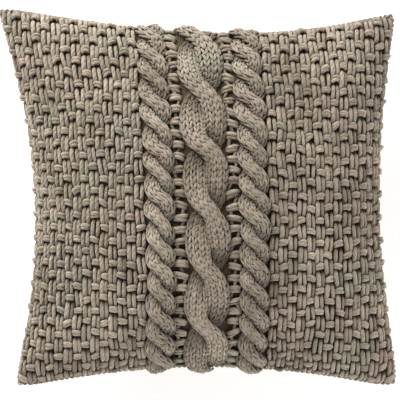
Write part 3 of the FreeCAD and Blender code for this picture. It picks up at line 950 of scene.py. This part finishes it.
def cable(surface, start, end, shape, name, material):
    """A rope cable between two values of s: two strands of stitches that cross, the left one in front."""
    yarns = Yarns(8)
    row_step = 1 / CABLE_ROWS
    width = end - start
    middle = (start + end) / 2
    stitches = shape["stitches"]
    strand_width = shape["strand_width"]
    sharpness = shape["sharpness"]
    reach = (1 - strand_width) / 2 + STRAND_OVERLAP
    stitch_width = strand_width / stitches
    varies = CABLE_VARIES
    share = np.linspace(0, 1, 7)[None]
    full = math.tanh(sharpness)
    for strand in (0, 1):
        grids = np.meshgrid(np.arange(CABLE_ROWS), np.arange(stitches), (-1, 1), indexing="ij")
        row, column, side = (grid.reshape(-1, 1) for grid in grids)
        each = row.shape
        along = row + 1.0 + jitter(len(row), varies["row"])[:, None] - share * STITCH_LENGTH
        turn = math.pi * (along / shape["rows_per_cross"] - shape["phase"] + strand)
        sway = np.sin(turn)
        front = np.cos(turn)
        under = np.clip(-front, 0, 1)
        centre = -reach * np.tanh(sharpness * sway) / full
        slope = -reach * sharpness * math.pi * front / np.cosh(sharpness * sway) ** 2
        slope = slope / full / shape["rows_per_cross"]
        tilt = np.arctan(slope * width / row_step)
        across = (column - (stitches - 1) / 2) * stitch_width
        splay = side * stitch_width * (STITCH_SPLAY - STITCH_CLOSING * share)
        offset = across + splay + jitter(each, varies["across"]) * stitch_width
        edge = np.clip(np.abs(offset) / (strand_width / 2), 0, 1)
        offset = offset * (1 - shape["pinch"] * np.abs(front) ** 3)
        s = middle + (centre + offset * np.cos(tilt)) * width
        t = along * row_step - offset * np.sin(tilt) * width
        rise = shape["base"] + shape["lift"] * np.sign(front) * np.abs(front) ** shape["settle"]
        rise = rise + shape["crown"] * (1 - edge**2.2) * (1 - CROWN_LOSS * under**2)
        rise = rise + STITCH_RISE * (share - STITCH_LEVEL) + STITCH_ARCH * np.sin(math.pi * share)
        rise = rise + jitter(each, varies["height"])
        # Painted shade: darker colour at strand edges, under crossings and at the stitches' lower ends.
        extra_shade = EDGE_SHADE * edge**8 + UNDER_SHADE * under**1.5 + TOP_SHADE * (1 - share) ** 3
        belly = np.sin(math.pi * np.clip(share, 0.03, 0.97)) ** 0.7
        thick = shape["radius"] * (STITCH_END + (1 - STITCH_END) * belly)
        thick = thick * (1 + jitter(each, varies["radius"]))
        keep = (t.max(1) > CABLE_END) & (t.min(1) < 1 - CABLE_END)
        lay(surface, yarns, s[keep], t[keep], rise[keep], thick[keep], extra_shade[keep])
    return link(name, yarns.mesh(name), material, ["front_panel"])


def sheet(name, outer, inner):
    """A closed mesh from two grids of points of the same size: its two faces and the rim between them."""
    count = outer[..., 0].size
    index = np.arange(count).reshape(outer.shape[:2])
    rim = np.concatenate([index[:, 0], index[-1, 1:], index[-2::-1, -1], index[0, -2:0:-1]])
    after = np.roll(rim, -1)
    sides = np.stack([rim, rim + count, after + count, after], -1)
    quads = np.concatenate([cells(index), cells(index)[:, ::-1] + count, sides])
    points = np.concatenate([outer.reshape(-1, 3), inner.reshape(-1, 3)])
    return mesh_of(name, points, quads)


def thick_cloth(name, grid, outward, inward, material, slot, nodes):
    """A padded cloth of real thickness on a grid."""
    surface = Surface(grid)
    shares = np.linspace(0, 1, FORM_GRID * 2 - 1)
    s, t = np.meshgrid(shares, shares, indexing="ij")
    outer, _ = surface.place(s, t, np.full(s.shape, outward))
    inner, _ = surface.place(s, t, np.full(s.shape, inward))
    cloth = link(name, sheet(name, outer, inner), material, nodes)


# ---------------------------------------------------------------- seam and zip


def lengths(line):
    """How far along a line each of its points is."""
    return np.concatenate([[0], np.linalg.norm(np.diff(line, axis=0), axis=1).cumsum()])


def read_line(line, at):
    """The points at these distances along a line."""
    return np.stack([np.interp(at, lengths(line), line[:, axis]) for axis in range(3)], -1)


def rim_line(grid):
    """The closed line of the rim, and its outward direction, at evenly spaced points."""
    line = np.concatenate([grid[:-1, 0], grid[-1, :-1], grid[:0:-1, -1], grid[0, :0:-1]])
    closed = np.concatenate([line, line[:1]])
    whole = lengths(closed)[-1]
    count = int(whole / SEAM["stitch"])
    points = read_line(closed, np.arange(count) / count * whole)
    along = unit(np.roll(points, -1, 0) - np.roll(points, 1, 0))
    outward = unit(np.cross(along, UP))
    return points, along, outward


def overcast(yarns, points, along, outward, shape, depth=0.0):
    """Slanting stitches over a cord that runs through points. Their turn is 0 at outward, and goes up. depth
    is painted shade on the stitches.
    """
    turn = np.linspace(*shape["turn"], 9)[None, :, None]
    radial = np.cos(turn) * outward[:, None] + np.sin(turn) * UP
    slant = shape["slant"] * shape["stitch"] * (turn - np.mean(shape["turn"]))
    wraps = points[:, None] + shape["wrap"] * radial + slant * along[:, None]
    yarns.add(wraps, radial, shape["radius"], depth)


def make_seam(grid, material):
    """The seam all round, except at the zip: a cord of turned-in edges, overcast with slanting stitches."""
    points, along, outward = rim_line(grid)
    points[:, 2] = SEAM_Z
    at_zip = (np.abs(points[:, 0] - ARC_X) < SLOT_HALF_LENGTH) & (points[:, 1] < ARC_MIDDLE_Y / 2)
    first = int(np.argmax(~at_zip & np.roll(at_zip, 1)))
    order = (np.arange(len(points)) + first) % len(points)
    order = order[~at_zip[order]]
    points, along, outward = points[order], along[order], outward[order]
    yarns = Yarns(10)
    yarns.add((points + SEAM_OUT * outward)[None], UP, SEAM_CORD)
    overcast(yarns, points, along, outward, SEAM)
    return link("seam", yarns.mesh("seam"), material, ["edge_seam"])


def make_knit_edge(grid, material):
    """The knitting's cast-on edge above the zip, and its cast-off edge: a cord of slanting stitches."""
    yarns = Yarns(10)
    for row, out in ((0, -1.0), (-1, 1.0)):
        line = grid[KNIT_EDGE_CORNER:-KNIT_EDGE_CORNER, row]
        points = read_line(line, np.arange(0, lengths(line)[-1], KNIT_EDGE["stitch"]))
        points = points + (0.0, out * KNIT_EDGE_OUT, KNIT_EDGE_UP)
        along = unit(np.gradient(points, axis=0))
        outward = np.broadcast_to((0.0, out, 0.0), points.shape)
        yarns.add(points[None], UP, KNIT_EDGE_CORD)
        overcast(yarns, points, along, outward, KNIT_EDGE, KNIT_EDGE_SHADE)
    return link("knit_edges", yarns.mesh("knit_edges"), material, ["front_panel"])


def on_chain(distance, depth, height):
    """The point at a distance along the zip's chain from its middle, set in by depth, above the seam."""
    angle = np.asarray(distance) / CHAIN_RADIUS
    radius = CHAIN_RADIUS + depth
    x = ARC_X + radius * np.sin(angle)
    y = ARC_MIDDLE_Y - ARC_RADIUS + radius * np.cos(angle)
    return np.stack(np.broadcast_arrays(x, y, SEAM_Z + height), -1)


def make_tape(up, name, material, node):
    """One of the zip's tapes: it stands beside the teeth, then turns in behind the cloth."""
    corner = np.linspace(0, math.pi / 2, 6)
    depth = np.concatenate([[0, 0], TAPE_CORNER * (1 - np.cos(corner)), TAPE_RUN])
    top = np.full(len(TAPE_RUN), TAPE_CORNER_HEIGHT + TAPE_CORNER)
    height = np.concatenate([TAPE_FOOT, TAPE_CORNER_HEIGHT + TAPE_CORNER * np.sin(corner), top])
    line = np.stack([depth, height], -1)
    along = unit(np.gradient(line, axis=0))
    across = np.stack([-along[:, 1], along[:, 0]], -1) * TAPE_HALF
    section = np.concatenate([line + across, (line - across)[::-1]])
    stations = np.linspace(-TAPE_HALF_LENGTH, TAPE_HALF_LENGTH, TAPE_STATIONS)
    ripple = TAPE_RIPPLE * np.sin(stations * TAPE_RIPPLE_TURN)[:, None]
    points = on_chain(stations[:, None], section[None, :, 0] + ripple, up * section[None, :, 1])
    count = len(section)
    k, j = np.meshgrid(np.arange(len(stations) - 1), np.arange(count), indexing="ij")
    after = (j + 1) % count
    quads = np.stack([k * count + j, (k + 1) * count + j, (k + 1) * count + after, k * count + after], -1)
    quads = quads.reshape(-1, 4)
    j = np.arange(count // 2 - 1)
    end = np.stack([j, j + 1, count - 2 - j, count - 1 - j], -1)
    quads = np.concatenate([quads, end, end[:, ::-1] + count * (len(stations) - 1)])
    quads = quads if up > 0 else quads[:, ::-1]
    mesh = mesh_of(name, points.reshape(-1, 3), quads)
    return link(name, mesh, material, [node])


def make_coil(up, name, material, node):
    """One row of the zip's teeth: a nylon coil. The two rows are half a turn apart, so that they mesh."""
    turns = int(2 * TEETH_HALF_LENGTH / COIL_PITCH)
    angle = np.linspace(0, 2 * math.pi * turns, turns * COIL_STEPS + 1)
    distance = -TEETH_HALF_LENGTH + (angle / (2 * math.pi) + (0.5 if up < 0 else 0.0)) * COIL_PITCH
    depth = COIL_HALF_DEPTH * np.sin(angle)
    height = up * (COIL_MIDDLE - COIL_HALF_HEIGHT * np.cos(angle))
    path = on_chain(distance, depth, height)
    middle = on_chain(distance, 0.0, up * COIL_MIDDLE)
    yarns = Yarns(6)
    yarns.add(path[None], (path - middle)[None], COIL_WIRE)
    return link(name, yarns.mesh(name), material, [node])


def make_zip_stitches(material):
    """The rows of stitches that hold the tapes to the cover."""
    yarns = Yarns(6)
    out = ZIP_STITCH["out"]
    starts = np.arange(-TAPE_HALF_LENGTH + 0.002, TAPE_HALF_LENGTH - 0.004, ZIP_STITCH["pitch"])
    share = np.linspace(0, 1, 5)[None]
    for up in (-1, 1):
        distance = starts[:, None] + ZIP_STITCH["length"] * share
        depth = -out + out * (2 * share - 1) ** 4
        path = on_chain(distance, depth, up * ZIP_STITCH["height"])
        yarns.add(path, np.array((0.0, -1.0, 0.0)), ZIP_STITCH["radius"])
    return link("zip_stitches", yarns.mesh("zip_stitches"), material, ["zipper_tape_front"])


def finish_metal(material):
    """The zip's metal parts are the CAD's own, with their edges eased."""
    for name in ("zipper_slider", "zipper_pull", "zipper_top_stops", "zipper_bottom_stop"):
        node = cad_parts[name]
        weld = node.modifiers.new("Weld", "WELD")
        weld.merge_threshold = METAL_WELD
        bevel = node.modifiers.new("Bevel", "BEVEL")
        bevel.width = METAL_EDGE
        bevel.segments = 3
        bevel.limit_method = "ANGLE"
        bevel.harden_normals = True
        node.data.materials.clear()
        node.data.materials.append(material)


# ---------------------------------------------------------------- the insert and label


def make_insert(cloth, wadding, thread):
    """The pillow form inside: its two-piece case, the seam round that, and its filling."""
    upper = even_dome(INSERT_INSET, INSERT_FRONT_RISE, 1)
    lower = even_dome(INSERT_INSET, INSERT_BACK_RISE, -1)
    lower[..., 2] = np.maximum(lower[..., 2], INSERT_LOWEST)
    for name, grid, node in (
        ("insert_front", upper, "insert_cover_front"),
        ("insert_back", lower[::-1], "insert_cover_back"),
    ):
        thick_cloth(name, grid, 0.0, -CASE_CLOTH, cloth, "insert_cloth", [node])
    points, faces, front_index, back_index = closed_form(upper, lower)
    rim = np.intersect1d(front_index, back_index)
    middle = points.mean(0)
    shrunk = middle + (points - middle) * FILLING_SHARE
    shrunk[rim] = middle + (points[rim] - middle) * FILLING_RIM_SHARE
    filling = link("filling", mesh_of("filling", shrunk, faces), wadding, ["insert_fill"])
    points, _, _ = rim_line(upper)
    yarns = Yarns(8)
    loop = np.concatenate([points, points[:2]])
    yarns.add(loop[None], UP, CASE_SEAM_RADIUS)
    link("case_seam", yarns.mesh("case_seam"), thread, ["insert_seam"])


def make_label(material):
    """A blank woven ribbon in the right-hand seam, inside the cover, with a slight curl."""
    low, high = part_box("care_label")
    across = np.linspace(low.x, high.x, 9)
    along = np.linspace(low.y, high.y, 29)
    x, y = np.meshgrid(across, along, indexing="ij")
    curl = LABEL_CURL * np.sin((y - low.y) * LABEL_CURL_TURN) * (high.x - x) / (high.x - low.x)
    top, bottom = (np.stack([x, y, z + curl], -1) for z in (high.z, low.z))
    link("label", sheet("label", top, bottom), material, ["care_label"])


# ---------------------------------------------------------------- the pillow

front_grid, back_grid = make_form()
front = Surface(front_grid)

yarn = yarn_material()
# The lining's near-black colour is painted shade: a dark sheet for the shadowed inside seen between the
# stitches.
lining_cloth = weave_material(
    "lining_cloth", colour(0.058, 0.042, 0.024), colour(0.105, 0.080, 0.050), pitch=0.0012, sheen=0.05
)
back_cloth = weave_material(
    "back_cloth", colour(0.20, 0.165, 0.125), colour(0.36, 0.30, 0.24), pitch=0.0016, sheen=0.25
)
insert_cloth = weave_material(
    "insert_cloth", colour(0.70, 0.69, 0.66), colour(0.82, 0.81, 0.78), pitch=0.0007, sheen=0.1
)
label_cloth = weave_material(
    "label_cloth", colour(0.78, 0.77, 0.74), colour(0.88, 0.87, 0.85), pitch=0.0004, sheen=0.2
)
tape_cloth = weave_material(
    "zip_tape", colour(0.15, 0.125, 0.10), colour(0.26, 0.22, 0.175), pitch=0.0006, sheen=0.1
)
seam_thread = thread_material("seam_yarn", colour(0.33, 0.28, 0.22), roughness=0.82, specular=0.2)
white_thread = thread_material("insert_thread", colour(0.80, 0.79, 0.76), roughness=0.7, specular=0.3)
nylon = thread_material("zip_coil", colour(0.20, 0.165, 0.13), roughness=0.38, specular=0.5)

edges = band_edges(front_grid)
moss(front, edges[0], edges[1], "knit_moss_left", yarn, 0)
moss(front, edges[6], edges[7], "knit_moss_right", yarn, 1)
gutters = Yarns(10)
ladder(front, edges[2], edges[3], gutters)
ladder(front, edges[4], edges[5], gutters)
link("knit_gutters", gutters.mesh("knit_gutters"), yarn, ["front_panel"])
cable(front, edges[1], edges[2], NARROW_CABLE | {"phase": 0.03}, "knit_cable_left", yarn)
cable(front, edges[3], edges[4], WIDE_CABLE, "knit_cable_wide", yarn)
cable(front, edges[5], edges[6], NARROW_CABLE | {"phase": 0.28}, "knit_cable_right", yarn)
# The lining: a dark sheet of painted shade under the knitting.
thick_cloth("lining", front_grid, *SHADE_SHEET_FACES, lining_cloth, "lining_cloth", ["front_lining"])
thick_cloth("back_cloth", back_grid[::-1], *BACK_FACES, back_cloth, "back_cloth", ["back_panel"])
make_knit_edge(front_grid, yarn)
make_seam(front_grid, seam_thread)
make_tape(1, "zip_tape_front", tape_cloth, "zipper_tape_front")
make_tape(-1, "zip_tape_back", tape_cloth, "zipper_tape_back")
make_coil(1, "zip_coil_front", nylon, "zipper_teeth_front")
make_coil(-1, "zip_coil_back", nylon, "zipper_teeth_back")
make_zip_stitches(seam_thread)
finish_metal(enamel_material())
make_insert(insert_cloth, wadding_material(), white_thread)
make_label(label_cloth)

# ---------------------------------------------------------------- stage


def make_stage():
    """A pale floor, soft light from the far side, and a camera straight above."""
    scene = bpy.context.scene
    scene.view_settings.view_transform = "Standard"
    nodes = Nodes("floor")
    grain = nodes.noise(nodes.place(), 40.0)
    white = nodes.mix(grain, colour(0.93, 0.93, 0.93), colour(0.96, 0.96, 0.96))
    glow = {"Emission_Color": colour(1, 1, 1), "Emission_Strength": 0.45}
    floor_material = nodes.finish(white, nodes.scaled(grain, 0.85, 0.95), **glow)
    mesh = bpy.data.meshes.new("floor")
    corners = [(x * FLOOR_HALF, y * FLOOR_HALF, 0) for x, y in ((-1, -1), (1, -1), (1, 1), (-1, 1))]
    mesh.from_pydata(corners, [], [(0, 1, 2, 3)])
    mesh.materials.append(floor_material)
    floor = bpy.data.objects.new("floor", mesh)
    floor.location.z = FLOOR_Z
    scene.collection.objects.link(floor)

    world = bpy.data.worlds.new("studio")
    scene.world = world
    world.use_nodes = True
    sky = world.node_tree
    background = sky.nodes["Background"]
    direction = sky.nodes.new("ShaderNodeTexCoord")
    height = sky.nodes.new("ShaderNodeSeparateXYZ")
    strength = sky.nodes.new("ShaderNodeMapRange")
    strength.inputs["To Min"].default_value = SKY_AT_HORIZON
    strength.inputs["To Max"].default_value = SKY_ABOVE
    background.inputs["Color"].default_value = colour(1.0, 0.99, 0.97)
    sky.links.new(direction.outputs["Generated"], height.inputs[0])
    sky.links.new(height.outputs["Z"], strength.inputs["Value"])
    sky.links.new(strength.outputs[0], background.inputs["Strength"])

    for name, place, power, size, warmth in (
        ("key", (-1.1, 1.9, 1.2), 82.0, 1.4, 0.95),
        ("fill", (1.4, -1.6, 0.6), 27.0, 1.4, 0.97),
    ):
        light = bpy.data.lights.new(name, "AREA")
        light.energy = power
        light.size = size
        light.color = (1.0, 0.98, warmth)
        lamp = bpy.data.objects.new(name, light)
        lamp.location = place
        lamp.rotation_mode = "QUATERNION"
        lamp.rotation_quaternion = (Vector(place) - Vector(LIT_POINT)).to_track_quat("Z", "Y")
        scene.collection.objects.link(lamp)

    camera = bpy.data.cameras.new("camera")
    camera.sensor_width = SENSOR
    camera.lens = SENSOR * CAMERA_HEIGHT / CAMERA_SEES
    seen_from = bpy.data.objects.new("camera", camera)
    seen_from.location = (*CAMERA_AT, SEAM_Z + CAMERA_HEIGHT)
    scene.collection.objects.link(seen_from)
    scene.camera = seen_from


make_stage()
